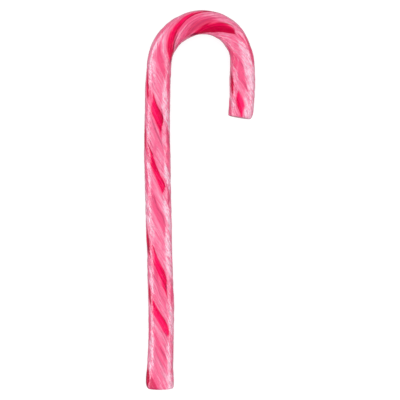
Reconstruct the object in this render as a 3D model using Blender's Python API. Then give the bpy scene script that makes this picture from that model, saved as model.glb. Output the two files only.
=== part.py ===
"""A hand-made candy cane: one rod of pulled sugar, twisted while warm and bent into a crook.

The cane lies on its back. Its shaft runs along +Y, its crook turns towards +X and +Z is up.
The origin is at the middle of its outline, on the surface that it lies on.

The rod is described by two coordinates. Distance is measured along the middle of the rod, from
the foot to the tip. Turn is the angle round the rod, from zero on top, growing towards the
inside of the crook. A point's rope angle is its turn plus the twist, so it is the same all the
way along one strand.
"""

import math

import bmesh
import bpy
import numpy as np

NODE_NAME = "candy_cane"

# Driving dimensions, in metres and radians
ROD_LENGTH = 0.2014
ROD_DIAMETER = 0.0100
TWIST_PITCH = 0.0566
FOOT_HEADING = math.radians(88.0)
FLAT_DEPTH = 0.0002

# Every bend of the rod: (where it starts, where it ends, degrees turned towards the crook's inside)
BENDS = (
    (0.012, 0.036, -3.5),  # a slight kink above the foot
    (0.080, 0.130, 4.0),  # the shaft leans over
    (0.125, 0.183, 166.0),  # the crook
    (0.150, 0.172, 11.0),  # its crown, bent tighter
    (0.184, 0.209, 10.0),  # the tip turned in
)
BEND_EASING = 0.006

# How wide the rod is across the crook's plane: (distance from the foot, width)
WIDTHS = (
    (0.0000, 0.01085),  # the foot, squeezed wider where it was cut
    (0.0050, 0.01075),
    (0.0095, 0.01005),
    (0.0220, 0.00995),
    (0.0620, 0.00995),
    (0.0700, 0.01010),
    (0.0880, 0.01025),
    (0.0980, 0.01015),
    (0.1080, 0.00985),
    (0.1200, 0.00975),
    (0.1330, 0.00950),
    (0.1530, 0.00940),
    (0.1680, 0.00935),
    (0.1740, 0.00860),  # pulled thin on the way down from the crown
    (0.1800, 0.00965),
    (0.1880, 0.01005),
    (0.1960, 0.00980),
    (ROD_LENGTH, 0.00945),
)

# Strands that stand proud of the rod: (rope angle in degrees, height, spread in degrees)
RAISED_STRANDS = (
    (311.0, 0.00016, 26.0),
    (183.0, 0.00007, 22.0),
    (36.0, 0.00006, 30.0),
    (106.0, 0.00005, 24.0),
)

# Where each cut end is worn: (length, depth) of the corner, on its sharp and on its blunt side
SHARP_CORNER = (0.0008, 0.0006)
FOOT_BLUNT_CORNER = (0.0027, 0.0014)
TIP_BLUNT_CORNER = (0.0024, 0.0011)
FOOT_SLANT = 0.045
TIP_SLANT = -0.04
SLANT_REACH = 0.009
END_BULGE = 0.0001

# Fineness of the mesh
SIDES = 24
RINGS = 150
END_RINGS = (0.0, 0.0001, 0.0003, 0.0006, 0.0011, 0.0018, 0.0026, 0.0035)
CAP_RINGS = (0.70, 0.36)
PATH_STEP = 0.0001

SUGAR_COLOUR = (0.93, 0.28, 0.42, 1.0)
SUGAR_ROUGHNESS = 0.3


def clear_scene():
    """Removes whatever objects the open file holds."""
    for thing in list(bpy.data.objects):
        bpy.data.objects.remove(thing, do_unlink=True)


def running_total(values):
    """The integral of values sampled every PATH_STEP, from zero, by the trapezium rule."""
    slices = (values[1:] + values[:-1]) / 2 * PATH_STEP
    return np.concatenate([[0.0], np.cumsum(slices)])


def bend_tightness(distances):
    """One over the radius: each bend is a round arc that eases in and out over BEND_EASING."""
    tightness = np.zeros_like(distances)
    for start, end, degrees in BENDS:
        from_ends = np.minimum(distances - start, end - distances)
        share = np.clip(from_ends / BEND_EASING, 0, 1)
        tightness += math.radians(degrees) / (end - start - BEND_EASING) * share
    return tightness


def trace_path():
    """Distances along the rod with its heading, x and y there.

    The heading is the bends added up, and the position is the heading added up.
    """
    distances = np.arange(0.0, ROD_LENGTH + PATH_STEP, PATH_STEP)
    headings = FOOT_HEADING - running_total(bend_tightness(distances))
    along_x = running_total(np.cos(headings))
    along_y = running_total(np.sin(headings))
    return distances, headings, along_x, along_y


def strand_relief(distance, turn):
    """Height of the raised strands: a soft ridge at each one's rope angle, never below zero."""
    rope_angle = turn + 2 * math.pi * distance / TWIST_PITCH
    height = np.zeros_like(rope_angle)
    for middle, rise, spread in RAISED_STRANDS:
        away = rope_angle - math.radians(middle)
        sharpness = 1 / math.radians(spread) ** 2
        height += rise * np.exp(sharpness * (np.cos(away) - 1))
    return height


def corner_wear(from_end, turn, blunt_corner):
    """How much the radius loses near a cut end: a quarter of an ellipse, blunt on the left."""
    blunt = ((1 - np.sin(turn)) / 2) ** 2
    length = SHARP_CORNER[0] + blunt * (blunt_corner[0] - SHARP_CORNER[0])
    depth = SHARP_CORNER[1] + blunt * (blunt_corner[1] - SHARP_CORNER[1])
    left_over = np.clip(1 - from_end / length, 0, 1)
    return depth * (1 - np.sqrt(1 - left_over**2))


def slant_shift(distance, sideways):
    """How far a cut's slant moves a point along the rod, fading out away from each end."""
    foot_fade = np.clip(1 - distance / SLANT_REACH, 0, 1) ** 2
    tip_fade = np.clip(1 - (ROD_LENGTH - distance) / SLANT_REACH, 0, 1) ** 2
    return sideways * (FOOT_SLANT * foot_fade + TIP_SLANT * tip_fade)


def skin(distance, turn, path, reach=1.0):
    """Points of the rod's surface, at reach times the radius, with the underside made flat.

    Each point is the rod's middle plus the radius, turned from straight up towards the inside of
    the crook. The radius is half the width, plus the strands and less the worn corners.
    """
    places, widths = np.transpose(WIDTHS)
    half_width = np.interp(distance, places, widths) / 2
    half_depth = np.minimum(half_width, ROD_DIAMETER / 2)
    change = strand_relief(distance, turn)
    change -= corner_wear(distance, turn, FOOT_BLUNT_CORNER)
    change -= corner_wear(ROD_LENGTH - distance, turn, TIP_BLUNT_CORNER)
    sideways = reach * (half_width + change) * np.sin(turn)
    upwards = reach * (half_depth + change) * np.cos(turn)
    station = distance + slant_shift(distance, sideways)
    distances, headings, along_x, along_y = path
    heading = np.interp(station, distances, headings)
    beyond = station - np.clip(station, 0, ROD_LENGTH)
    x = np.interp(station, distances, along_x) + np.cos(heading) * beyond + np.sin(heading) * sideways
    y = np.interp(station, distances, along_y) + np.sin(heading) * beyond - np.cos(heading) * sideways
    z = np.maximum(half_depth - FLAT_DEPTH + upwards, 0.0)
    return np.stack([x, y, z], axis=-1)


def push_along(points, path, distance, offset):
    """Moves points by offset along the rod's direction at that distance."""
    heading = np.interp(distance, path[0], path[1])
    return points + offset * np.array([math.cos(heading), math.sin(heading), 0.0])


def cap_rings(path, distance, outwards):
    """The rings and the middle point that close one end, on a cut face that bulges a little."""
    turns = np.arange(SIDES) * 2 * math.pi / SIDES
    rings = []
    for reach in CAP_RINGS:
        bulge = END_BULGE * (1 - reach**2) * outwards
        ring = skin(np.full(SIDES, distance), turns, path, reach)
        rings.append(push_along(ring, path, distance, bulge))
    middle = skin(np.array([distance]), np.zeros(1), path, 0.0)
    return rings, push_along(middle, path, distance, END_BULGE * outwards)


def ring_distances():
    """Where the rings stand: close together at the worn corners, evenly spaced between them."""
    foot = np.array(END_RINGS)
    tip = ROD_LENGTH - foot[::-1]
    between = np.linspace(foot[-1], tip[0], RINGS)[1:-1]
    return np.concatenate([foot, between, tip])


def add_ring(mesh, points):
    """Adds one ring of points to the mesh."""
    return [mesh.verts.new(point) for point in points]


def bridge(mesh, lower, upper):
    """Joins two rings with faces that point outwards."""
    for side in range(SIDES):
        after = (side + 1) % SIDES
        mesh.faces.new((lower[side], lower[after], upper[after], upper[side]))


def close_end(mesh, ring, middle, is_foot):
    """Fans the innermost ring to a middle point."""
    centre = mesh.verts.new(middle)
    for side in range(SIDES):
        after = (side + 1) % SIDES
        corners = (ring[after], ring[side], centre) if is_foot else (ring[side], ring[after], centre)
        mesh.faces.new(corners)


def build_skin(mesh):
    """Builds the closed rod: the foot's cut face, the twisted side and the tip's cut face."""
    path = trace_path()
    turns = np.arange(SIDES) * 2 * math.pi / SIDES
    foot_rings, foot_middle = cap_rings(path, 0.0, -1)
    tip_rings, tip_middle = cap_rings(path, ROD_LENGTH, 1)
    side_rings = [skin(np.full(SIDES, distance), turns, path) for distance in ring_distances()]
    all_rings = foot_rings[::-1] + side_rings + tip_rings
    points = np.concatenate(all_rings)
    middle_of_outline = (points.min(axis=0) + points.max(axis=0)) / 2
    origin = np.array([middle_of_outline[0], middle_of_outline[1], 0.0])
    rings = [add_ring(mesh, ring - origin) for ring in all_rings]
    for lower, upper in zip(rings, rings[1:]):
        bridge(mesh, lower, upper)
    close_end(mesh, rings[0], foot_middle[0] - origin, True)
    close_end(mesh, rings[-1], tip_middle[0] - origin, False)


def sugar_material():
    """Glossy pulled sugar in the cane's average pink."""
    material = bpy.data.materials.new("pulled_sugar")
    material.use_nodes = True
    shader = material.node_tree.nodes["Principled BSDF"]
    shader.inputs["Base Color"].default_value = SUGAR_COLOUR
    shader.inputs["Roughness"].default_value = SUGAR_ROUGHNESS
    shader.inputs["Metallic"].default_value = 0.0
    return material


def build_cane():
    """Makes the cane's mesh and object."""
    mesh = bpy.data.meshes.new(NODE_NAME)
    workshop = bmesh.new()
    build_skin(workshop)
    workshop.to_mesh(mesh)
    workshop.free()
    mesh.shade_smooth()
    mesh.set_sharp_from_angle(angle=math.radians(50))
    mesh.materials.append(sugar_material())
    cane = bpy.data.objects.new(NODE_NAME, mesh)
    bpy.context.scene.collection.objects.link(cane)


clear_scene()
build_cane()
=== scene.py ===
"""The looks of a hand-made candy cane.

One rod of pulled sugar, twisted while warm and bent into a crook, lies on its back on a white
table. Two crimson strands and a rose one run along the rod between strands of pale pink satin.

The rod is described by two coordinates. Distance is measured along the middle of the rod, from
the foot to the tip. Turn is the angle round the rod, from zero on top, growing towards the inside
of the crook. The rope angle is the turn plus the twist, so it stays the same along one strand.
Lengths are in metres, written as a number of millimetres times MM.
"""

import math
import typing

import bpy
import numpy as np
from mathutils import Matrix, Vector


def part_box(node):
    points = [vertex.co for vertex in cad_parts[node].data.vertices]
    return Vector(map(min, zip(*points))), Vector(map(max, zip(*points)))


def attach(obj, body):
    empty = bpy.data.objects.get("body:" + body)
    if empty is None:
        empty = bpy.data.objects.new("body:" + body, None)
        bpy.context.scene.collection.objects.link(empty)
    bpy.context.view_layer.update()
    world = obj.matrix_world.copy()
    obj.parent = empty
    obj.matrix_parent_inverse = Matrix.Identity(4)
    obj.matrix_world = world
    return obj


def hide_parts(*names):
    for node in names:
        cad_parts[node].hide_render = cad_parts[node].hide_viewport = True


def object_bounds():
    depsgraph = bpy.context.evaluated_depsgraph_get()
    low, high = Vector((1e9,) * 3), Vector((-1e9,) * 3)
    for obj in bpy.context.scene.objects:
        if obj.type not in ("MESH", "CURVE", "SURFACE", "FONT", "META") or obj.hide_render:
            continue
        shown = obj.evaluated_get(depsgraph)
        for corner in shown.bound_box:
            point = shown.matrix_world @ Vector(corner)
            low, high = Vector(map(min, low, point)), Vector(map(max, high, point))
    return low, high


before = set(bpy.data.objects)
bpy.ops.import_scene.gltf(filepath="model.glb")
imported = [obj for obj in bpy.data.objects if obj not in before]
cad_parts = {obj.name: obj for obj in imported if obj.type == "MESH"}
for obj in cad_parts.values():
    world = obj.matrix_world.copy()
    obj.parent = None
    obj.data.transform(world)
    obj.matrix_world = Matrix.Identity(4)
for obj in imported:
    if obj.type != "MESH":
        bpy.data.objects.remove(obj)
CAD_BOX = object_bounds()

MM = 0.001

# The rod's own form, the same as its solid has
ROD_LENGTH = 201.4 * MM
ROD_DIAMETER = 10.0 * MM
TWIST_PITCH = 56.6 * MM
FOOT_HEADING = math.radians(88.0)
FLAT_DEPTH = 0.2 * MM

# Every bend of the rod, in mm: (where it starts, where it ends, degrees turned towards the inside)
BENDS = (
    (12, 36, -3.5),  # a slight kink above the foot
    (80, 130, 4.0),  # the shaft leans over
    (125, 183, 166.0),  # the crook
    (150, 172, 11.0),  # its crown, bent tighter
    (184, 209, 10.0),  # the tip turned in
)
BEND_EASING = 6.0

# How wide the rod is across the crook's plane: (distance from the foot, width), in mm
WIDTHS = (
    (0.0, 10.85),  # the foot, squeezed wider where it was cut
    (5.0, 10.75),
    (9.5, 10.05),
    (22.0, 9.95),
    (62.0, 9.95),
    (70.0, 10.10),
    (88.0, 10.25),
    (98.0, 10.15),
    (108.0, 9.85),
    (120.0, 9.75),
    (133.0, 9.50),
    (153.0, 9.40),
    (168.0, 9.35),
    (174.0, 8.60),  # pulled thin on the way down from the crown
    (180.0, 9.65),
    (188.0, 10.05),
    (196.0, 9.80),
    (201.4, 9.45),
)
WIDTH_EASING = 1.5 * MM

# Strands that stand proud of the rod: (rope angle in degrees, height in mm, spread in degrees)
RAISED_STRANDS = (
    (311.0, 0.16, 26.0),
    (183.0, 0.07, 22.0),
    (36.0, 0.06, 30.0),
    (106.0, 0.05, 24.0),
)

# Where each cut end is worn: (length, depth) of the corner, on its sharp and on its blunt side
SHARP_CORNER = (0.8 * MM, 0.6 * MM)
FOOT_BLUNT_CORNER = (2.7 * MM, 1.4 * MM)
TIP_BLUNT_CORNER = (2.4 * MM, 1.1 * MM)
FOOT_SLANT = 0.045
TIP_SLANT = -0.04
SLANT_REACH = 9.0 * MM
END_BULGE = 0.1 * MM
DENT_DEPTH = 0.09 * MM

# Creases where one strand meets the next: (rope angle in degrees, depth in mm)
CREASES = (
    (64.0, 0.05),
    (124.0, 0.05),
    (155.0, 0.06),
    (208.0, 0.06),
    (250.0, 0.04),
    (276.0, 0.06),
    (346.0, 0.07),
    (18.0, 0.04),
)
CREASE_HALF_WIDTH = 0.28 * MM
CREASE_WANDER = math.radians(9.0)
CREASE_WANDER_LENGTH = 11.0 * MM
CREASE_SEED = 40

# Kinds of hand-made unevenness: (height, how many go round the rod, their length, their seed)
LUMPS = (0.06 * MM, 5, 9.0 * MM, 1)
RIDGES = (0.07 * MM, 17, 12.0 * MM, 2)
CORDS = (0.055 * MM, 31, 5.0 * MM, 3)
FIBRES = (0.045 * MM, 53, 3.2 * MM, 4)
CRINKLES = (0.05 * MM, 29, 1.5 * MM, 5)
GLASSY_SHARE = 0.7  # how much of the finer kinds the glassy strands lose

# Ripples across the outside of the bend
STRETCH_MIDDLE = 169.0 * MM
STRETCH_REACH = 5.0 * MM
STRETCH_TURN = math.radians(-48.0)
STRETCH_SPREAD = math.radians(26.0)
STRETCH_STEP = 0.85 * MM
STRETCH_HEIGHT = 0.05 * MM

# Fineness of the mesh
COLUMNS = 190
ROW_STEP = 0.415 * MM
END_ROWS = (0.0, 0.05, 0.12, 0.22, 0.36, 0.56, 0.80, 1.10, 1.50, 1.90)
CAP_REACHES = (0.93, 0.84, 0.73, 0.60, 0.46, 0.32, 0.19, 0.08)
PATH_STEP = 0.1 * MM


class Stripe(typing.NamedTuple):
    """One stripe of colour lying along a strand.

    Strength is how deep its colour is. Places say where it runs, each a distance from the foot in
    mm, the rope angle of its middle in degrees and its half width in degrees.
    """

    strength: float
    places: tuple


class Patch(typing.NamedTuple):
    """A short stripe told by its turn from the top, where a Stripe is told by its rope angle.

    The places are (distance in mm, turn of its middle in degrees, half width in degrees).
    """

    strength: float
    places: tuple


CRIMSON_STRIPES = (
    # the foot, a dark one low on the left
    Stripe(1.5, ((1.6, 306, 0), (3, 314, 10), (4.5, 323, 15), (6, 334, 13), (7.5, 344, 8), (9, 354, 0))),
    # the shaft
    Stripe(0.1, ((21, 166, 0), (22, 170, 11), (23, 171, 16), (25, 175, 18), (28.5, 174, 18),
                 (30, 171, 20), (33, 180, 10), (36.5, 192, 0))),
    Stripe(0.3, ((36, 262, 0), (39, 272, 6), (41, 279, 11), (43, 290, 16), (46, 300, 17),
                 (50, 308, 13), (53, 318, 6), (57, 335, 0))),
    Stripe(0.7, ((52, 283, 0), (54, 287, 8), (57, 303, 12), (60, 318, 12), (64.5, 344, 0))),
    Stripe(0.4, ((77, 149, 0), (79, 165, 14), (81, 174, 18), (84, 178, 13), (86, 180, 14), (88, 185, 13),
                 (90, 193, 11), (92, 203, 6), (94, 208, 4), (98, 214, 0))),
    Stripe(0.4, ((101, 298, 0), (103.5, 312, 11), (107, 330, 23), (109, 333, 23), (111, 334, 18),
                 (113, 344, 9), (116.5, 362, 0))),
    Stripe(0.6, ((114, 318, 0), (116, 328, 8), (120, 345, 9), (124, 368, 6), (126, 382, 0))),
    # the shoulder and the crown
    Stripe(0.5, ((128.5, 162, 0), (131, 172, 10), (133, 179, 17), (136, 178, 16),
                 (140, 182, 18), (144, 188, 16), (149, 194, 12), (153, 205, 8),
                 (159, 226, 0))),
    Stripe(1.0, ((148, 290, 0), (151, 302, 16), (155, 313, 25), (160, 322, 29), (164, 326, 26),
                 (167, 332, 18), (168.5, 343, 0))),
    # the tip
    Stripe(0.9, ((183.5, 150, 0), (187, 167, 9), (190, 181, 10), (193.5, 200, 0))),
    Stripe(0.1, ((191, 154, 0), (192.5, 162, 9), (195, 171, 18), (196.5, 174, 20), (198.5, 184, 12),
                 (201, 196, 0))),
    # the underside
    Stripe(0.4, ((3, 176, 0), (8, 180, 11), (14, 184, 12), (18, 190, 0))),
    Stripe(0.3, ((12, 318, 0), (20, 322, 14), (30, 330, 16), (37, 338, 0))),
    Stripe(0.3, ((45, 176, 0), (54, 180, 15), (64, 186, 14), (72, 190, 0))),
    Stripe(0.4, ((66, 316, 0), (76, 324, 15), (88, 334, 16), (97, 342, 0))),
    Stripe(0.4, ((106, 176, 0), (112, 182, 14), (120, 192, 13), (126, 200, 0))),
    Stripe(0.5, ((126, 300, 0), (133, 316, 14), (140, 330, 12), (146, 344, 0))),
    Stripe(0.5, ((160, 178, 0), (166, 186, 14), (175, 196, 15), (182, 206, 0))),
    Stripe(0.4, ((183, 318, 0), (188, 324, 13), (196, 334, 14), (203, 342, 4))),
)

ROSE_STRIPES = (
    # the foot
    Stripe(0.6, ((-1, 345, 10), (3, 355, 26), (6, 365, 20), (9, 380, 0))),
    Stripe(0.4, ((2, 30, 0), (6, 38, 9), (12, 54, 9), (16, 66, 0))),
    Stripe(0.7, ((7.5, 80, 0), (10, 80, 7), (15, 80, 8), (19, 86, 0))),
    Stripe(0.9, ((10, 101, 0), (12, 102, 7), (15, 103, 10), (18, 106, 9), (22, 109, 7), (24, 112, 4),
                 (26, 116, 0))),
    # the shaft
    Stripe(0.7, ((18.5, 56, 0), (22, 78, 11), (26, 102, 13), (28.5, 117, 9), (30.8, 131, 0))),
    Stripe(0.6, ((31, 222, 0), (35, 238, 9), (39, 252, 11), (43, 258, 10), (47.5, 254, 0))),
    Stripe(1.0, ((33.5, 272, 0), (36, 290, 12), (39, 309, 13), (42.3, 328, 0))),
    Stripe(0.9, ((60, 50, 0), (65, 72, 14), (70, 83, 18), (72, 87, 15), (76, 104, 7), (79.8, 117, 0))),
    Stripe(1.0, ((72.2, 148, 0), (73.5, 158, 7), (75.5, 178, 10), (78, 188, 6), (81, 195, 4),
                 (84.5, 204, 0))),
    Stripe(0.8, ((76, 72, 0), (79, 88, 7), (83, 114, 10), (86, 129, 11), (89.5, 148, 0))),
    Stripe(0.9, ((85.5, 240, 0), (89, 262, 9), (92, 280, 14), (94.5, 294, 9), (96, 302, 0))),
    Stripe(0.5, ((92, 252, 0), (96, 262, 10), (101, 272, 9), (106, 290, 0))),
    Stripe(1.2, ((92.5, 292, 0), (95, 306, 12), (98, 323, 16), (100.5, 336, 12), (105, 360, 0))),
    Stripe(1.2, ((91, 176, 0), (93, 186, 8), (95, 189, 12), (97, 193, 14), (100, 205, 15),
                 (103, 224, 10), (105.8, 241, 0))),
    Stripe(0.5, ((108, 275, 0), (111, 289, 9), (114, 307, 0))),
    Stripe(0.9, ((116, 74, 0), (119, 94, 12), (122, 114, 14), (125.5, 135, 0))),
    # the shoulder and the crown
    Stripe(0.5, ((134, 78, 0), (138, 100, 11), (142, 124, 15), (145, 142, 0))),
    Stripe(0.8, ((137, 226, 0), (141, 241, 12), (145, 246, 17), (150, 248, 23), (155, 260, 18),
                 (158, 270, 10), (161, 280, 0))),
    Stripe(1.7, ((144, 262, 0), (148, 264, 15), (152, 268, 21), (155, 273, 18), (158, 282, 9),
                 (161, 290, 0))),
    Stripe(0.9, ((168.8, 329, 0), (170.5, 335, 8), (172.5, 341, 8), (175, 352, 0))),
    Stripe(1.4, ((168.5, 297, 0), (172, 313, 10), (176, 338, 13), (179, 357, 13), (181.2, 372, 0))),
    # the tip
    Stripe(1.2, ((170.5, 66, 0), (172, 77, 9), (174, 84, 17), (177, 91, 19), (180, 103, 17),
                 (182.2, 114, 0))),
    Stripe(0.9, ((177.5, 62, 0), (180, 76, 8), (183.5, 96, 15), (186, 110, 14), (190, 111, 6),
                 (192.5, 114, 0))),
    # the underside
    Stripe(0.8, ((32, 88, 0), (42, 94, 13), (52, 100, 12), (58, 104, 0))),
    Stripe(0.8, ((86, 84, 0), (96, 90, 13), (106, 98, 13), (114, 104, 0))),
    Stripe(0.8, ((146, 84, 0), (154, 90, 13), (162, 96, 13), (169, 102, 0))),
    Stripe(0.7, ((188, 230, 0), (192, 240, 12), (198, 252, 13), (203, 262, 6))),
    Stripe(0.6, ((2, 240, 4), (8, 252, 13), (18, 262, 11), (26, 270, 0))),
)

# Pale stripes along strands: partly pale satin strands, partly painted sheen where the side softboxes
# reflect, made stronger down the right rim against its shade
PALE_AND_SHEEN_STRIPES = (
    # the shaft
    Stripe(1.0, ((4, 350, 0), (6, 357, 15), (9, 374, 17), (12, 390, 17), (17, 418, 14), (20, 442, 12),
                 (25, 474, 9), (29, 494, 7), (32, 506, 0))),
    Stripe(0.9, ((0, 58, 14), (2, 68, 16), (5, 84, 15), (8, 98, 9), (12, 121, 13), (15, 134, 14),
                 (19, 156, 0))),
    Stripe(1.4, ((21.5, 196, 0), (23, 206, 13), (26, 220, 18), (29, 236, 13), (32.5, 256, 0))),
    Stripe(0.8, ((38, 206, 0), (42, 222, 14), (45, 244, 9), (50, 264, 0))),
    Stripe(1.3, ((44, 336, 0), (46, 346, 12), (48, 356, 18), (50, 366, 20), (53, 384, 18), (56, 401, 16),
                 (61, 428, 12), (64, 440, 0))),
    Stripe(0.7, ((57, 336, 0), (60, 352, 10), (64, 378, 10), (67, 384, 10), (70, 408, 12),
                 (73, 415, 9), (77, 432, 0))),
    Stripe(0.8, ((64, 350, 0), (68, 372, 14), (72, 398, 16), (76, 420, 14), (80, 442, 10), (84, 460, 0))),
    Stripe(1.3, ((60.5, 92, 0), (63, 105, 13), (66, 117, 18), (69, 123, 17), (72, 132, 13),
                 (76, 150, 0))),
    Stripe(1.0, ((79, 106, 0), (82, 124, 8), (85, 144, 9), (88, 162, 10), (90.5, 176, 7), (92, 186, 0))),
    Stripe(1.4, ((77.5, 194, 0), (80, 206, 14), (83, 218, 17), (86, 230, 13), (88.5, 242, 0))),
    Stripe(0.6, ((97, 286, 0), (98.5, 292, 9), (101, 304, 5), (104.5, 330, 6), (106, 338, 0))),
    Stripe(0.7, ((92, 180, 0), (94, 191, 6), (98, 216, 5), (102, 244, 8), (104, 259, 8),
                 (107, 280, 7), (110, 298, 0))),
    Stripe(1.4, ((101, 346, 0), (105, 362, 13), (108, 374, 18), (111, 386, 18), (114, 402, 16),
                 (117, 420, 12), (120, 438, 0))),
    # the shoulder and the crown
    Stripe(0.5, ((137.5, 214, 0), (140, 220, 7), (145, 222, 7), (149, 224, 6), (152, 226, 0))),
    Stripe(0.5, ((164, 352, 0), (167, 367, 9), (170, 388, 5), (172, 407, 8), (174.5, 420, 0))),
    # the tip
    Stripe(1.1, ((171, 358, 0), (173, 368, 16), (176, 380, 25), (182, 402, 28),
                 (188, 430, 30), (194, 475, 31), (201.4, 520, 26))),
    Stripe(0.6, ((184, 122, 0), (187, 137, 8), (190, 152, 6), (191.5, 160, 0))),
    Stripe(0.6, ((193, 196, 0), (196, 212, 11), (200, 236, 12), (203, 250, 8))),
)

# Thin darker lines, where two strands meet or a fibre has taken up more colour: partly the sugar's own
# colour, partly painted shade in the creases between strands
DARK_LINES = (
    Stripe(1.0, ((21.2, 158, 0), (21.8, 164, 5), (22.6, 168, 0))),
    Stripe(0.9, ((33.5, 190, 0), (35.5, 194, 4), (37.8, 203, 0))),
    Stripe(0.9, ((38.8, 276, 0), (40, 282, 4), (41.5, 290, 0))),
    Stripe(0.8, ((40, 254, 0), (43, 257, 4), (46, 258, 4), (48, 257, 0))),
    Stripe(0.6, ((45.5, 256, 0), (47.3, 262, 5), (49.5, 262, 4), (51.5, 262, 0))),
    Stripe(0.7, ((34.5, 228, 0), (37, 236, 3), (40, 244, 3), (43, 250, 0))),
    Stripe(0.7, ((5, 66, 0), (9, 71, 4), (13, 73, 4), (17, 78, 0))),
    Stripe(0.7, ((10.5, 104, 0), (13, 106, 4), (15, 104, 6), (17, 104, 0))),
    Stripe(0.6, ((1, 44, 0), (5, 50, 4), (9, 56, 3), (12, 60, 0))),
    Stripe(0.8, ((64, 80, 0), (68.5, 95, 5), (71, 92, 4), (73, 94, 4), (76.5, 111, 3), (78.5, 116, 0))),
    Stripe(0.8, ((72.4, 150, 0), (74, 166, 4), (76, 182, 6), (79, 190, 4), (82, 198, 3), (84, 203, 0))),
    Stripe(0.9, ((90, 176, 0), (91.2, 181, 6), (92.8, 190, 4), (94.5, 200, 0))),
    Stripe(0.9, ((94, 209, 0), (96.5, 212, 3), (99, 216, 0))),
    Stripe(1.0, ((94.5, 271, 0), (98, 278, 4), (101, 282, 5), (104, 289, 4), (108, 297, 0))),
    Stripe(0.9, ((105.5, 342, 0), (107.3, 350, 4), (109.5, 359, 3), (111.5, 365, 0))),
    Stripe(1.0, ((135, 200, 0), (137, 203, 5), (140, 203, 5), (142, 207, 4), (144.6, 212, 0))),
    Stripe(0.8, ((140, 222, 0), (144, 226, 3), (149, 232, 3), (154, 240, 0))),
    Stripe(0.8, ((146, 246, 0), (152, 249, 4), (158, 254, 3), (162, 259, 0))),
    Stripe(1.0, ((146, 265, 0), (150, 267, 5), (156, 268, 5), (160, 270, 4), (163, 272, 0))),
    Stripe(0.9, ((168.2, 334, 0), (169.2, 341, 3), (170, 346, 0))),
    Stripe(0.8, ((169, 328, 0), (170, 333, 4), (171.5, 336, 0))),
    Stripe(0.7, ((178.5, 69, 0), (181, 73, 4), (184.5, 80, 0))),
    Stripe(0.8, ((186.3, 112, 0), (188, 106, 4), (190, 109, 4), (191.4, 111, 0))),
    Stripe(1.3, ((189.7, 159, 0), (190.2, 163, 5), (190.7, 167, 0))),
)

# Short patches, told by their turn from the top
CRIMSON_PATCHES = (
    Patch(0.9, ((1, -58, 0), (3, -60, 15), (6, -60, 11), (9, -62, 0))),
    Patch(0.9, ((33, -52, 0), (36, -57, 8), (39, -60, 9), (42, -62, 0))),
    Patch(0.8, ((94, -58, 0), (98, -66, 7), (101, -68, 6), (104, -70, 0))),
    Patch(0.9, ((132, 66, 0), (135, 60, 11), (138, 42, 8), (143, 20, 0))),
)

ROSE_PATCHES = (
    Patch(1.9, ((-1.5, -26, 22), (1.5, -28, 18), (4, -34, 8), (5.5, -36, 0))),
    Patch(1.1, ((42, -6, 0), (46, -18, 9), (52, -30, 0))),
    Patch(0.7, ((50, -4, 0), (53, -20, 12), (57, -45, 10), (60, -44, 0))),
    Patch(0.9, ((88.5, -38, 0), (90.5, -42, 6), (92.5, -46, 0))),
    Patch(0.5, ((89, -18, 0), (93, -12, 10), (96, -6, 8), (100, -6, 0))),
    Patch(1.1, ((98, 20, 0), (101, 16, 7), (104, 18, 6), (106, 22, 0))),
    Patch(0.5, ((103, 34, 0), (108, 35, 6), (113, 36, 5), (119, 38, 0))),
    Patch(0.9, ((111, -34, 0), (115, -42, 14), (119, -34, 0))),
    Patch(1.0, ((122, 34, 0), (126, 24, 15), (130, 5, 16), (133, -10, 9), (137, -22, 0))),
    Patch(0.5, ((140, -26, 0), (143, -32, 6), (147, -44, 6), (150, -58, 0))),
    Patch(1.2, ((141, 18, 0), (145, 8, 8), (150, -16, 9), (157, -44, 0))),
    Patch(1.0, ((198, -6, 0), (201, 0, 9), (204, -4, 9))),
)

# Pale patches told by their turn: partly pale satin, partly painted sheen
PALE_AND_SHEEN_PATCHES = (
    Patch(0.7, ((84, 14, 0), (87, 16, 6), (91, 14, 0))),
    Patch(0.9, ((115, 44, 0), (119, 38, 7), (123, 32, 6), (128, 12, 0))),
    Patch(1.0, ((118, -34, 0), (121, -38, 8), (126, -45, 9), (135, -38, 8), (143, -34, 0))),
    Patch(0.9, ((121, -10, 0), (124, -18, 7), (128, -22, 10), (131, -30, 0))),
    Patch(0.8, ((131, 26, 0), (134, 6, 8), (137, -12, 8), (140, -20, 0))),
    Patch(0.7, ((160, -24, 0), (164, -28, 8), (168, -30, 0))),
)

# Painted shade: dark patches told by their turn from the top, down the rims and along the foot's worn edge
PAINTED_SHADE_PATCHES = (
    # the foot: painted shade along its worn edge and down its left rim
    Patch(0.7, ((-2, -20, 45), (0.2, -20, 45), (0.9, -20, 0))),
    Patch(1.2, ((-0.5, -58, 10), (1, -64, 10), (3, -65, 0))),
    Patch(0.8, ((0.5, -74, 0), (3, -74, 8), (5, -74, 7), (8, -70, 0))),
    # painted shade down the right rim
    Patch(0.8, ((5, 66, 0), (8, 66, 6), (15, 68, 5), (21, 68, 0))),
    Patch(0.7, ((33, 60, 0), (37, 60, 6), (40, 58, 0))),
    Patch(0.9, ((95, 60, 0), (98, 62, 6), (102, 64, 0))),
    Patch(0.8, ((116, 62, 0), (119, 62, 5), (122, 60, 0))),
    Patch(1.0, ((127, 66, 0), (130, 64, 6), (133, 60, 0))),
    Patch(0.7, ((135, 60, 0), (140, 66, 6), (145, 62, 0))),
    Patch(1.6, ((145, 68, 0), (148, 68, 9), (150, 68, 10), (153, 62, 0))),
    Patch(0.9, ((171, 64, 0), (174, 66, 6), (178, 66, 0))),
    Patch(0.8, ((181, 64, 0), (186, 66, 5), (191, 64, 0))),
    Patch(0.7, ((196, 66, 0), (198, 66, 5), (200, 64, 0))),
    # painted shade elsewhere, two of them down the left rim
    Patch(0.7, ((61.5, -43, 0), (63, -43, 5), (65, -43, 0))),
    Patch(0.8, ((53, -60, 0), (56, -64, 10), (58, -60, 0))),
        Patch(0.9, ((165, -30, 0), (167, -28, 5), (168, -10, 0))),
    Patch(0.9, ((152, -62, 0), (155, -64, 7), (159, -66, 0))),
)

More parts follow.
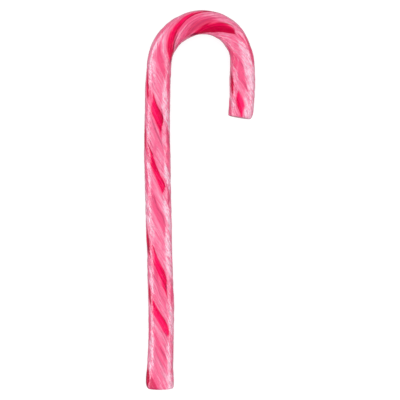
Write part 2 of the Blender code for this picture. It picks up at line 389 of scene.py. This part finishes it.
STRIPE_EASING = 0.6 * MM
ROSE_EDGE = 0.5 * MM  # how softly each kind of stripe ends at its sides
PALE_EDGE = 0.7 * MM
LINE_EDGE = 0.25 * MM
PALE_CORE = 3.0  # how fast the crimson fades towards the middle of a cut face
NO_CRIMSON = -9 * MM  # a depth that is far outside any crimson stripe
END_FADE = 0.3
LEFT_RUN_OUT = 0.62
NARROWEST = math.radians(4.0)
# Turns where the painted glints and shade down the sides begin and reach their full share
GLINT_SHADE_START = math.radians(22.0)
GLINT_SHADE_FULL = math.radians(48.0)
DARKER_SIDE = 0.42


def running_total(values):
    """The integral of values sampled every PATH_STEP, from zero, by the trapezium rule."""
    slices = (values[1:] + values[:-1]) / 2 * PATH_STEP
    return np.concatenate([[0.0], np.cumsum(slices)])


def bend_tightness(distances):
    """One over the radius: each bend is a round arc that eases in and out over BEND_EASING."""
    tightness = np.zeros_like(distances)
    for start, end, degrees in BENDS:
        from_ends = np.minimum(distances - start * MM, end * MM - distances)
        share = np.clip(from_ends / (BEND_EASING * MM), 0, 1)
        tightness += math.radians(degrees) / ((end - start - BEND_EASING) * MM) * share
    return tightness


def trace_path():
    """Distances along the rod with its heading, x and y there.

    The heading is the bends added up, and the position is the heading added up.
    """
    distances = np.arange(0.0, ROD_LENGTH + PATH_STEP, PATH_STEP)
    headings = FOOT_HEADING - running_total(bend_tightness(distances))
    along_x = running_total(np.cos(headings))
    along_y = running_total(np.sin(headings))
    return distances, headings, along_x, along_y


def eased(distance, places, values, easing):
    """Straight lines between the values at their places, averaged over three near distances."""
    near = [np.interp(distance + shift, places, values) for shift in (-easing, 0.0, easing)]
    return sum(near) / 3


def rod_width(distance):
    """The rod's width across the crook's plane."""
    places, widths = np.transpose(WIDTHS) * MM
    return eased(distance, places, widths, WIDTH_EASING)


def twist(distance):
    """How far the strands have turned round the rod at a distance."""
    return 2 * math.pi * distance / TWIST_PITCH


def wrapped(angle):
    """An angle brought to between minus and plus half a turn."""
    return (angle + math.pi) % (2 * math.pi) - math.pi


def soft_step(value, low, high):
    """Zero below low, one above high, and three t squared less two t cubed between them."""
    share = np.clip((value - low) / (high - low), 0, 1)
    return share * share * (3 - 2 * share)


def fibre_noise(distance, rope, fibres, length, seed):
    """Smooth random values from -1 to 1, drawn out along the strands.

    Random values stand on a grid, so many round the rod and one for each length along it, and
    are eased into one another both ways.
    """
    steps = int(ROD_LENGTH / length) + 4
    values = np.random.default_rng(seed).uniform(-1, 1, (steps, fibres))
    across = rope / (2 * math.pi) * fibres
    along = distance / length + 1
    column = np.floor(across).astype(int)
    row = np.floor(along).astype(int)
    sideways = soft_step(across - column, 0, 1)
    onwards = soft_step(along - row, 0, 1)
    left, right = column % fibres, (column + 1) % fibres
    lower = values[row, left] * (1 - sideways) + values[row, right] * sideways
    upper = values[row + 1, left] * (1 - sideways) + values[row + 1, right] * sideways
    return lower * (1 - onwards) + upper * onwards


def strand_relief(distance, rope):
    """Height of the raised strands: a soft ridge at each one's rope angle, never below zero."""
    height = np.zeros_like(rope + distance)
    for middle, rise, spread in RAISED_STRANDS:
        away = rope - math.radians(middle)
        sharpness = 1 / math.radians(spread) ** 2
        height = height + rise * MM * np.exp(sharpness * (np.cos(away) - 1))
    return height


def crease_relief(distance, rope):
    """Depth of the creases between strands: a narrow bell curve round each wandering line."""
    depth = np.zeros_like(rope + distance)
    for number, (middle, deepest) in enumerate(CREASES):
        wander = fibre_noise(distance, 0 * rope, 1, CREASE_WANDER_LENGTH, CREASE_SEED + number)
        line = math.radians(middle) + CREASE_WANDER * wander
        away = wrapped(rope - line) * ROD_DIAMETER / 2
        depth = depth + deepest * MM * np.exp(-((away / CREASE_HALF_WIDTH) ** 2))
    return -depth


def unevenness(distance, rope, kind):
    """Height of one kind of unevenness: its own height times random values of its own size."""
    height, fibres, length, seed = kind
    return height * fibre_noise(distance, rope, fibres, length, seed)


def hand_relief(distance, rope):
    """Unevenness of hand work: lumps, ridges, cords, fibres and crinkles, added up.

    The crimson strands are glassy, so all but the lumps are fainter there.
    """
    depth, _ = crimson_stripes(distance, rope)
    satin = 1 - GLASSY_SHARE * soft_step(depth, -0.3 * MM, 0.5 * MM)
    finer = sum(unevenness(distance, rope, kind) for kind in (RIDGES, CORDS, FIBRES, CRINKLES))
    return unevenness(distance, rope, LUMPS) + satin * finer


def stretch_relief(distance, turn):
    """Ripples across the outside of the bend, where the crown was stretched over the mandrel."""
    along = (distance - STRETCH_MIDDLE) / STRETCH_REACH
    round_it = wrapped(turn - STRETCH_TURN) / STRETCH_SPREAD
    where = np.exp(-(along**2) - round_it**2)
    return STRETCH_HEIGHT * where * np.cos(2 * math.pi * distance / STRETCH_STEP + 1.5 * round_it)


def corner_wear(from_end, turn, blunt_corner):
    """How much the radius loses near a cut end: a quarter of an ellipse, blunt on the left."""
    blunt = ((1 - np.sin(turn)) / 2) ** 2
    length = SHARP_CORNER[0] + blunt * (blunt_corner[0] - SHARP_CORNER[0])
    depth = SHARP_CORNER[1] + blunt * (blunt_corner[1] - SHARP_CORNER[1])
    left_over = np.clip(1 - from_end / length, 0, 1)
    return depth * (1 - np.sqrt(1 - left_over**2))


def slant_shift(distance, sideways):
    """How far a cut's slant moves a point along the rod, fading out away from each end."""
    foot_fade = np.clip(1 - distance / SLANT_REACH, 0, 1) ** 2
    tip_fade = np.clip(1 - (ROD_LENGTH - distance) / SLANT_REACH, 0, 1) ** 2
    return sideways * (FOOT_SLANT * foot_fade + TIP_SLANT * tip_fade)


def skin(distance, rope, path, reach=1.0, fine=1.0):
    """Points of the rod's surface, at reach times the radius, with the underside made flat.

    Each point is the rod's middle plus the radius, turned from straight up towards the inside of
    the crook. The radius is half the width, plus the strands, less the worn corners, plus as much
    of the fine relief as asked for.
    """
    turn = rope - twist(distance)
    half_width = rod_width(distance) / 2
    half_depth = np.minimum(half_width, ROD_DIAMETER / 2)
    change = strand_relief(distance, rope)
    relief = crease_relief(distance, rope) + hand_relief(distance, rope) + stretch_relief(distance, turn)
    change = change + fine * relief
    change = change - corner_wear(distance, turn, FOOT_BLUNT_CORNER)
    change = change - corner_wear(ROD_LENGTH - distance, turn, TIP_BLUNT_CORNER)
    sideways = reach * (half_width + change) * np.sin(turn)
    upwards = reach * (half_depth + change) * np.cos(turn)
    station = distance + slant_shift(distance, sideways)
    distances, headings, along_x, along_y = path
    heading = np.interp(station, distances, headings)
    beyond = station - np.clip(station, 0, ROD_LENGTH)
    x = np.interp(station, distances, along_x) + np.cos(heading) * beyond + np.sin(heading) * sideways
    y = np.interp(station, distances, along_y) + np.sin(heading) * beyond - np.cos(heading) * sideways
    z = np.maximum(half_depth - FLAT_DEPTH + upwards, 0.0)
    return np.stack([x, y, z + 0 * x], axis=-1)


def as_stripes(patches):
    """The patches as stripes: each turn becomes a rope angle when the twist there is added."""
    return tuple(
        Stripe(patch.strength, tuple((mm, turn + math.degrees(twist(mm * MM)), half)
                                     for mm, turn, half in patch.places))
        for patch in patches
    )


def side_glint_shade_share(distance, rope):
    """How much painted glint and shade the skin gets: none on top, and the full share down the sides."""
    turn = wrapped(rope - twist(distance))
    return soft_step(np.abs(turn), GLINT_SHADE_START, GLINT_SHADE_FULL)


def stripe_depth(distance, rope, stripe):
    """How far inside one stripe a point is, and where it is across it, from -1 to 1.

    The depth is the half width less the way to the stripe's middle line. Past the ends it also
    loses a share of the way to them. Across is that way as a share of the half width.
    """
    places, middles, half_widths = np.transpose(np.array(stripe.places))
    middle = np.radians(eased(distance, places * MM, middles, STRIPE_EASING))
    half_width = np.radians(eased(distance, places * MM, half_widths, STRIPE_EASING))
    away = wrapped(rope - middle)
    beyond = np.maximum(np.maximum(places[0] * MM - distance, distance - places[-1] * MM), 0)
    depth = (half_width - np.abs(away)) * ROD_DIAMETER / 2 - END_FADE * beyond
    return depth, np.clip(away / np.maximum(half_width, NARROWEST), -1, 1)


def crimson_stripes(distance, rope):
    """Depth inside the nearest crimson stripe, and how deep its colour is there.

    A stripe's right side is a crisp edge and darker. Its left side runs out into the pink, so the
    depth grows slower from there.
    """
    depth = np.full_like(rope + distance, NO_CRIMSON)
    deep = np.zeros_like(depth)
    for stripe in CRIMSON_STRIPES + as_stripes(CRIMSON_PATCHES):
        inside, across = stripe_depth(distance, rope, stripe)
        inside = inside * (1 - LEFT_RUN_OUT * soft_step(-across, -0.1, 0.7))
        deep = np.where(inside > depth, stripe.strength + DARKER_SIDE * across, deep)
        depth = np.maximum(depth, inside)
    return depth, deep


def soft_stripes(distance, rope, stripes, softness):
    """Strength of the strongest soft stripe: one inside, zero outside, eased at its sides."""
    strength = np.zeros_like(rope + distance)
    for stripe in stripes:
        inside, _ = stripe_depth(distance, rope, stripe)
        strength = np.maximum(strength, stripe.strength * soft_step(inside, -softness, softness))
    return strength


def row_distances():
    """Where the rows stand: close together at the worn corners, evenly spaced between them."""
    foot = np.array(END_ROWS) * MM
    tip = ROD_LENGTH - foot[::-1]
    count = int((tip[0] - foot[-1]) / ROW_STEP)
    between = np.linspace(foot[-1], tip[0], count)[1:-1]
    return np.concatenate([foot, between, tip])


def whole_rod():
    """Distance and reach of every row: the foot's cut face, the side and the tip's cut face."""
    side = row_distances()
    reaches = np.array(CAP_REACHES)
    distance = np.concatenate([0 * reaches, side, ROD_LENGTH + 0 * reaches])
    reach = np.concatenate([reaches[::-1], 1 + 0 * side, reaches])
    outwards = np.concatenate([-1 + 0 * reaches, 0 * side, 1 + 0 * reaches])
    return distance[:, None], reach[:, None], outwards[:, None]


def cut_face_push(distance, rope, reach, outwards, path):
    """Moves the cut faces' points along the rod: a slight bulge, with the chips of a snapped end."""
    chips = fibre_noise(distance, rope, 9, 50 * MM, 21)
    chips = chips + 0.6 * fibre_noise(distance, rope + 3 * reach, 23, 50 * MM, 22)
    bulge = END_BULGE * (1 - reach**2) * outwards
    dents = -DENT_DEPTH * (0.5 + 0.5 * chips) * np.sin(math.pi * reach) * np.abs(outwards) * outwards
    heading = np.interp(distance, path[0], path[1])
    offset = bulge + dents
    return np.stack([offset * np.cos(heading), offset * np.sin(heading), 0 * offset], axis=-1)


def closed_tube_faces(rows, columns):
    """Corners of the faces of a tube of rows, its end rows each fanned to one more point."""
    row = np.arange(rows - 1)[:, None]
    column = np.arange(columns)[None, :]
    after = (column + 1) % columns
    lower = row * columns
    upper = lower + columns
    quads = np.stack([lower + column, lower + after, upper + after, upper + column], axis=-1)
    first = np.arange(columns)
    following = (first + 1) % columns
    foot_point = rows * columns
    tip_point = foot_point + 1
    last_row = (rows - 1) * columns
    foot_fan = np.stack([following, first, 0 * first + foot_point], axis=-1)
    tip_fan = np.stack([last_row + first, last_row + following, 0 * first + tip_point], axis=-1)
    return quads.reshape(-1, 4), np.concatenate([foot_fan, tip_fan])


def make_mesh(name, points, quads, triangles):
    """A mesh from whole arrays of points, four-sided and three-sided faces."""
    mesh = bpy.data.meshes.new(name)
    mesh.vertices.add(len(points))
    mesh.vertices.foreach_set("co", points.astype(np.float32).ravel())
    corners = np.concatenate([quads.ravel(), triangles.ravel()]).astype(np.int32)
    sizes = np.concatenate([np.full(len(quads), 4), np.full(len(triangles), 3)]).astype(np.int32)
    starts = np.concatenate([[0], np.cumsum(sizes)[:-1]]).astype(np.int32)
    mesh.loops.add(len(corners))
    mesh.loops.foreach_set("vertex_index", corners)
    mesh.polygons.add(len(sizes))
    mesh.polygons.foreach_set("loop_start", starts)
    mesh.polygons.foreach_set("loop_total", sizes)
    mesh.update(calc_edges=True)
    mesh.validate()
    mesh.shade_smooth()
    return mesh


def write_attribute(mesh, name, values):
    """Keeps one number or one vector for each point of the mesh."""
    kind, key = ("FLOAT_VECTOR", "vector") if values.ndim == 2 else ("FLOAT", "value")
    attribute = mesh.attributes.new(name, kind, "POINT")
    attribute.data.foreach_set(key, values.astype(np.float32).ravel())


def with_end_points(values, foot, tip):
    """Values of a grid as one list, with those of the foot's and the tip's middle point after."""
    listed = values.reshape(-1, values.shape[-1]) if values.ndim == 3 else values.ravel()
    return np.concatenate([listed, [foot], [tip]])


def build_cane():
    """Builds the closed rod and writes what its finish needs to know about each point."""
    path = trace_path()
    distance, reach, outwards = whole_rod()
    rope = np.arange(COLUMNS)[None, :] * 2 * math.pi / COLUMNS
    rope = rope + 0 * distance

    smooth = skin(distance, rope, path, reach, fine=0.0)
    points = skin(distance, rope, path, reach) + cut_face_push(distance, rope, reach, outwards, path)
    foot_middle = points[0].mean(axis=0)
    tip_middle = points[-1].mean(axis=0)
    low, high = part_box("candy_cane")
    outline = smooth.reshape(-1, 3)
    middle = (outline.min(axis=0) + outline.max(axis=0)) / 2
    shift = np.array([(low.x + high.x) / 2 - middle[0], (low.y + high.y) / 2 - middle[1], low.z])
    quads, triangles = closed_tube_faces(*rope.shape)
    whole = with_end_points(points, foot_middle, tip_middle) + shift
    mesh = make_mesh("pulled_sugar_rod", whole, quads, triangles)

    radius = reach * ROD_DIAMETER / 2
    along = distance + 0 * rope
    along_strands = np.stack([radius * np.cos(rope), radius * np.sin(rope), along], axis=-1) / MM
    write_attribute(mesh, "rope", with_end_points(along_strands, [0, 0, 0], [0, 0, ROD_LENGTH / MM]))
    crimson, deep = crimson_stripes(distance, rope)
    rose = soft_stripes(distance, rope, ROSE_STRIPES + as_stripes(ROSE_PATCHES), ROSE_EDGE)
    # pale holds the pale satin strands together with the painted sheen
    pale = soft_stripes(distance, rope, PALE_AND_SHEEN_STRIPES + as_stripes(PALE_AND_SHEEN_PATCHES), PALE_EDGE)
    # dark holds the darker lines and the painted shade patches
    dark = soft_stripes(distance, rope, DARK_LINES + as_stripes(PAINTED_SHADE_PATCHES), LINE_EDGE)
    core = -PALE_CORE * (1 - reach) + 0 * rope
    write_attribute(mesh, "crimson", with_end_points(crimson / MM + core, NO_CRIMSON / MM, NO_CRIMSON / MM))
    write_attribute(mesh, "deep", with_end_points(deep, 0, 0))
    write_attribute(mesh, "rose", with_end_points(rose * reach**2, 0, 0))
    write_attribute(mesh, "pale", with_end_points(pale * reach, 0, 0))
    write_attribute(mesh, "dark", with_end_points(dark * reach, 0, 0))
    # A share from none on top to full down the sides, for painted glints and shade
    write_attribute(mesh, "side_glint_shade", with_end_points(side_glint_shade_share(distance, rope) * reach, 0, 0))
    cut = np.abs(outwards) + 0 * rope
    write_attribute(mesh, "cut", with_end_points(cut, 1, 1))

    cane = bpy.data.objects.new("pulled_sugar_rod", mesh)
    bpy.context.scene.collection.objects.link(cane)
    return cane


# Finish

HOT_PINK = (0.96, 0.040, 0.190, 1.0)
BRIGHT_CRIMSON = (0.97, 0.010, 0.125, 1.0)
CRIMSON = (0.88, 0.003, 0.088, 1.0)
DEEP_CRIMSON = (0.55, 0.0, 0.042, 1.0)
ROSE = (0.93, 0.085, 0.23, 1.0)
DEEP_ROSE = (0.74, 0.042, 0.13, 1.0)
WARM_PINK = (0.98, 0.13, 0.28, 1.0)
PINK = (1.0, 0.20, 0.37, 1.0)
PALE_PINK = (1.0, 0.32, 0.49, 1.0)
# The whitest pink: partly pale satin, partly painted sheen
SATIN_AND_SHEEN_WHITE = (1.0, 0.55, 0.70, 1.0)
DARK_ROSE = (0.60, 0.035, 0.13, 1.0)
MAUVE = (0.62, 0.10, 0.23, 1.0)
MAROON = (0.20, 0.004, 0.045, 1.0)


def add_node(tree, kind, inputs=None, **settings):
    """Adds a node: its settings, then its inputs, each a plain value or a socket to link."""
    node = tree.nodes.new(kind)
    for name, value in settings.items():
        setattr(node, name, value)
    for name, value in (inputs or {}).items():
        if isinstance(value, bpy.types.NodeSocket):
            tree.links.new(value, node.inputs[name])
        else:
            node.inputs[name].default_value = value
    return node


def calculate(tree, operation, first, second=0.0, third=0.0):
    """One step of arithmetic."""
    node = add_node(tree, "ShaderNodeMath", {0: first, 1: second, 2: third}, operation=operation)
    return node.outputs[0]


def ease(tree, value, low, high):
    """A value's soft step from zero at low to one at high."""
    inputs = {"Value": value, "From Min": low, "From Max": high}
    node = add_node(tree, "ShaderNodeMapRange", inputs, interpolation_type="SMOOTHSTEP")
    return node.outputs[0]


def mix_colours(tree, share, first, second):
    """The first colour with a share of the second."""
    node = add_node(tree, "ShaderNodeMix", {0: share, 6: first, 7: second}, data_type="RGBA")
    return node.outputs[2]


def colour_ramp(tree, value, stops):
    """Colours along a value, each stop a place from zero to one and a colour."""
    node = add_node(tree, "ShaderNodeValToRGB", {"Fac": value})
    elements = node.color_ramp.elements
    elements.remove(elements[1])
    elements[0].position, elements[0].color = stops[0]
    for position, colour in stops[1:]:
        elements.new(position).color = colour
    return node.outputs[0]


def read_attribute(tree, name):
    """A number kept at the mesh's points."""
    return add_node(tree, "ShaderNodeAttribute", attribute_name=name).outputs["Fac"]


def fibres_group():
    """Node group: streaks along the strands, so wide and so long in mm, from the rope vector."""
    tree = bpy.data.node_groups.new("sugar_fibres", "ShaderNodeTree")
    tree.interface.new_socket("Rope", in_out="INPUT", socket_type="NodeSocketVector")
    tree.interface.new_socket("Width", in_out="INPUT", socket_type="NodeSocketFloat")
    tree.interface.new_socket("Length", in_out="INPUT", socket_type="NodeSocketFloat")
    tree.interface.new_socket("Seed", in_out="INPUT", socket_type="NodeSocketFloat")
    tree.interface.new_socket("Streak", in_out="OUTPUT", socket_type="NodeSocketFloat")
    given = tree.nodes.new("NodeGroupInput").outputs
    split = add_node(tree, "ShaderNodeSeparateXYZ", {0: given["Rope"]}).outputs
    x = calculate(tree, "DIVIDE", split[0], given["Width"])
    y = calculate(tree, "DIVIDE", split[1], given["Width"])
    z = calculate(tree, "DIVIDE", split[2], given["Length"])
    stretched = add_node(tree, "ShaderNodeCombineXYZ", {0: x, 1: y, 2: z}).outputs[0]
    inputs = {"Vector": stretched, "W": given["Seed"], "Scale": 1.0, "Detail": 2.0, "Roughness": 0.55}
    noise = add_node(tree, "ShaderNodeTexNoise", inputs, noise_dimensions="4D")
    centred = calculate(tree, "SUBTRACT", noise.outputs["Fac"], 0.5)
    result = tree.nodes.new("NodeGroupOutput")
    tree.links.new(calculate(tree, "MULTIPLY", centred, 3.0), result.inputs["Streak"])
    return tree


def sugar_finish():
    """Glossy pulled sugar: satin pink with fibres, rose and crimson stripes, thin dark lines.

    The pale stripes, partly painted sheen, and the sides are more mottled with painted glints and shade; the
    sides have small dark nicks, partly painted shade, and dark patches down the rims are painted shade.
    """
    material = bpy.data.materials.new("pulled_sugar_finish")
    material.use_nodes = True
    tree = material.node_tree
    shader = tree.nodes["Principled BSDF"]
    group = fibres_group()
    rope = add_node(tree, "ShaderNodeAttribute", attribute_name="rope").outputs["Vector"]

    def streaks(width, length, seed):
        """Streaks of one size, from about minus a half to a half."""
        inputs = {"Rope": rope, "Width": width, "Length": length, "Seed": seed}
        return add_node(tree, "ShaderNodeGroup", inputs, node_tree=group).outputs[0]

    broad = streaks(1.8, 22.0, 1.0)
    medium = streaks(0.9, 9.0, 2.0)
    fine = streaks(0.5, 6.0, 3.0)
    mottle = streaks(0.7, 1.6, 4.0)
    crinkle = streaks(0.55, 0.9, 7.0)
    pale = read_attribute(tree, "pale")
    rose = read_attribute(tree, "rose")
    dark = read_attribute(tree, "dark")
    crimson = read_attribute(tree, "crimson")
    deep = read_attribute(tree, "deep")
    cut = read_attribute(tree, "cut")
    side_glint_shade = read_attribute(tree, "side_glint_shade")

    # The pink's tone: paler on the pale stripes, which carry painted sheen as well, with streaks of three
    # sizes
    tone = calculate(tree, "MULTIPLY_ADD", pale, 0.55, 0.30)
    tone = calculate(tree, "MULTIPLY_ADD", broad, 0.25, tone)
    tone = calculate(tree, "MULTIPLY_ADD", medium, 0.60, tone)
    tone = calculate(tree, "MULTIPLY_ADD", fine, 0.60, tone)
    # The mottle grows on the pale stripes and down the sides: painted glints and painted shade of the
    # crinkled skin
    contrast = calculate(tree, "MULTIPLY_ADD", pale, 0.5, 0.2)
    contrast = calculate(tree, "MULTIPLY_ADD", side_glint_shade, 0.5, contrast)
    tone = calculate(tree, "MULTIPLY_ADD", mottle, contrast, tone)
    stops = ((0.0, WARM_PINK), (0.32, PINK), (0.68, PALE_PINK), (1.0, SATIN_AND_SHEEN_WHITE))
    colour = colour_ramp(tree, tone, stops)

    rose_share = calculate(tree, "MULTIPLY_ADD", medium, 0.4, rose)
    rose_share = calculate(tree, "MULTIPLY_ADD", fine, 0.5, rose_share)
    rose_colour = mix_colours(tree, ease(tree, rose_share, 0.9, 1.8), ROSE, DEEP_ROSE)
    colour = mix_colours(tree, ease(tree, rose_share, 0.05, 1.0), colour, rose_colour)

    # Hairlines along the strands, mixed towards mauve: partly darker fibres, partly painted shade in the
    # fine grooves
    line = calculate(tree, "ABSOLUTE", streaks(1.1, 14.0, 5.0))
    line = calculate(tree, "SUBTRACT", 1.0, ease(tree, line, 0.0, 0.09))
    hairline_and_groove_shade = calculate(tree, "MULTIPLY", line, ease(tree, streaks(1.6, 7.0, 6.0), 0.0, 0.4))
    colour = mix_colours(tree, calculate(tree, "MULTIPLY", hairline_and_groove_shade, 0.5), colour, MAUVE)
    # Small dark nicks down the sides: partly dark specks in the sugar, partly painted shade
    nick_and_shade = calculate(tree, "MULTIPLY", ease(tree, streaks(0.5, 1.1, 8.0), 0.22, 0.5), side_glint_shade)
    colour = mix_colours(tree, calculate(tree, "MULTIPLY", nick_and_shade, 0.6), colour, MAUVE)

    edge = calculate(tree, "MULTIPLY_ADD", medium, 0.25, crimson)
    edge = calculate(tree, "MULTIPLY_ADD", fine, 0.25, edge)
    crimson_share = ease(tree, edge, -0.25, 0.25)
    deep = calculate(tree, "MULTIPLY_ADD", medium, 0.6, deep)
    deep = calculate(tree, "MULTIPLY_ADD", fine, 0.7, deep)
    deep = add_node(tree, "ShaderNodeMapRange", {"Value": deep, "From Min": -0.5, "From Max": 1.1})
    stops = ((0.0, HOT_PINK), (0.35, BRIGHT_CRIMSON), (0.52, CRIMSON), (0.95, DEEP_CRIMSON))
    colour = mix_colours(tree, crimson_share, colour, colour_ramp(tree, deep.outputs[0], stops))

    # The darker lines and the painted shade patches: dark rose, turning maroon over crimson
    dark_share = calculate(tree, "MULTIPLY_ADD", fine, 0.4, dark)
    dark_share = calculate(tree, "MULTIPLY", ease(tree, dark_share, 0.1, 1.0), 0.7)
    line_and_shade_colour = mix_colours(tree, crimson_share, DARK_ROSE, MAROON)
    colour = mix_colours(tree, dark_share, colour, line_and_shade_colour)
    tree.links.new(colour, shader.inputs["Base Color"])

    glassy = calculate(tree, "MAXIMUM", crimson_share, calculate(tree, "MULTIPLY", rose_share, 0.5))
    gloss = add_node(tree, "ShaderNodeMapRange", {"Value": glassy, "To Min": 0.42, "To Max": 0.16})
    gloss = calculate(tree, "MULTIPLY_ADD", fine, 0.08, gloss.outputs[0])
    gloss = calculate(tree, "MULTIPLY_ADD", cut, 0.10, gloss)
    tree.links.new(gloss, shader.inputs["Roughness"])
    satin = calculate(tree, "SUBTRACT", 1.0, glassy)
    tree.links.new(satin, shader.inputs["Coat Weight"])
    shader.inputs["Coat Roughness"].default_value = 0.22
    shader.inputs["Specular IOR Level"].default_value = 0.08

    height = calculate(tree, "MULTIPLY_ADD", fine, 0.6, medium)
    height = calculate(tree, "MULTIPLY_ADD", crinkle, calculate(tree, "MULTIPLY", satin, 0.8), height)
    bump = add_node(tree, "ShaderNodeBump", {"Height": height, "Strength": 1.0, "Distance": 0.2 * MM})
    tree.links.new(bump.outputs[0], shader.inputs["Normal"])
    return material


# Studio

CANE_LENGTH = CAD_BOX[1].y - CAD_BOX[0].y
SHARE_OF_FRAME = 0.9472
FRAME_WIDTH = CANE_LENGTH / SHARE_OF_FRAME
CAMERA_DROP = 0.26 * MM  # how far the camera stands below the cane's middle in the frame
CAMERA_ASIDE = 0.12 * MM  # and how far to its right
CAMERA_HEIGHT = 600 * MM
SENSOR_WIDTH = 36.0
EVEN_LIGHT = 1.20  # how bright the surroundings are to matt things
GLOSS_LIGHT = 0.03  # in reflections
BACKDROP = 1.1  # and to the camera
TABLE_HALF_WIDTH = 3.0
TABLE_GAP = 0.02 * MM
SOFTBOX_AWAY = 0.5
SOFTBOX_LENGTH = 0.9
LIGHTS_AIM = Vector((0.0, 0.0, 0.0))


def build_table():
    """A wide white table: bright to the camera, with a soft contact shadow."""
    half = TABLE_HALF_WIDTH
    corners = np.array([(-half, -half, 0), (half, -half, 0), (half, half, 0), (-half, half, 0)])
    mesh = make_mesh("table", corners - [0, 0, TABLE_GAP], np.array([[0, 1, 2, 3]]), np.zeros((0, 3), int))
    mesh.materials.append(table_finish())
    table = bpy.data.objects.new("table", mesh)
    bpy.context.scene.collection.objects.link(table)


def table_finish():
    """Matt white, lifted to pure white where the camera sees it."""
    material = bpy.data.materials.new("white_table")
    material.use_nodes = True
    tree = material.node_tree
    tree.nodes.clear()
    seen = add_node(tree, "ShaderNodeLightPath").outputs["Is Camera Ray"]
    grain = add_node(tree, "ShaderNodeTexNoise", {"Scale": 40.0, "Detail": 3.0}).outputs["Fac"]
    paper = mix_colours(tree, grain, (0.42, 0.42, 0.42, 1), (0.46, 0.46, 0.46, 1))
    matt = add_node(tree, "ShaderNodeBsdfDiffuse", {"Color": paper}).outputs[0]
    faint = add_node(tree, "ShaderNodeBsdfDiffuse", {"Color": (0.3, 0.3, 0.3, 1)}).outputs[0]
    glow = add_node(tree, "ShaderNodeEmission", {"Strength": 0.8}).outputs[0]
    lifted = add_node(tree, "ShaderNodeAddShader", {0: faint, 1: glow}).outputs[0]
    chosen = add_node(tree, "ShaderNodeMixShader", {0: seen, 1: matt, 2: lifted}).outputs[0]
    add_node(tree, "ShaderNodeOutputMaterial", {"Surface": chosen})
    return material


def add_softbox(name, place, width, height, radiance):
    """A soft light of a given size and radiance, turned towards the cane and unseen itself."""
    light = bpy.data.lights.new(name, "AREA")
    light.shape = "RECTANGLE"
    light.size = width
    light.size_y = height
    light.energy = radiance * math.pi * width * height
    holder = bpy.data.objects.new(name, light)
    holder.location = place
    direction = LIGHTS_AIM - Vector(place)
    holder.rotation_euler = direction.to_track_quat("-Z", "Y").to_euler()
    holder.visible_camera = False
    bpy.context.scene.collection.objects.link(holder)
    return holder


def build_lights():
    """A soft light overhead, kept out of reflections, and softboxes that show only as gloss."""
    overhead = add_softbox("overhead_light", (0.0, 0.0, 0.8), width=0.7, height=0.7, radiance=0.9)
    overhead.visible_glossy = False
    right = add_softbox("right_softbox", (SOFTBOX_AWAY, 0.0, 0.0), SOFTBOX_LENGTH, height=0.52, radiance=3.4)
    left = add_softbox("left_softbox", (-SOFTBOX_AWAY, 0.0, 0.05), SOFTBOX_LENGTH, height=0.24, radiance=5.5)
    back = add_softbox("back_softbox", (0.0, SOFTBOX_AWAY, 0.0), SOFTBOX_LENGTH, height=0.40, radiance=0.7)
    for side in (right, left, back):
        side.visible_diffuse = False


def build_world():
    """White surroundings to the camera, an even soft light on matt things, little gloss."""
    world = bpy.data.worlds.new("studio")
    bpy.context.scene.world = world
    world.use_nodes = True
    tree = world.node_tree
    tree.nodes.clear()
    path = add_node(tree, "ShaderNodeLightPath").outputs
    plain = calculate(tree, "MULTIPLY_ADD", path["Is Glossy Ray"], GLOSS_LIGHT - EVEN_LIGHT, EVEN_LIGHT)
    strength = calculate(tree, "MULTIPLY_ADD", path["Is Camera Ray"], BACKDROP - EVEN_LIGHT, plain)
    glow = add_node(tree, "ShaderNodeBackground", {"Strength": strength}).outputs[0]
    add_node(tree, "ShaderNodeOutputWorld", {"Surface": glow})


def build_camera():
    """A long lens looking straight down on the cane."""
    lens = bpy.data.cameras.new("camera")
    lens.sensor_width = SENSOR_WIDTH
    lens.lens = SENSOR_WIDTH * CAMERA_HEIGHT / FRAME_WIDTH
    camera = bpy.data.objects.new("camera", lens)
    middle = (CAD_BOX[0] + CAD_BOX[1]) / 2
    camera.location = (middle.x + CAMERA_ASIDE, middle.y - CAMERA_DROP, middle.z + CAMERA_HEIGHT)
    bpy.context.scene.collection.objects.link(camera)
    bpy.context.scene.camera = camera


cane = build_cane()
cane.data.materials.append(sugar_finish())
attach(cane, "root")
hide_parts("candy_cane")

build_table()
build_lights()
build_world()
build_camera()
bpy.context.scene.view_settings.view_transform = "Standard"
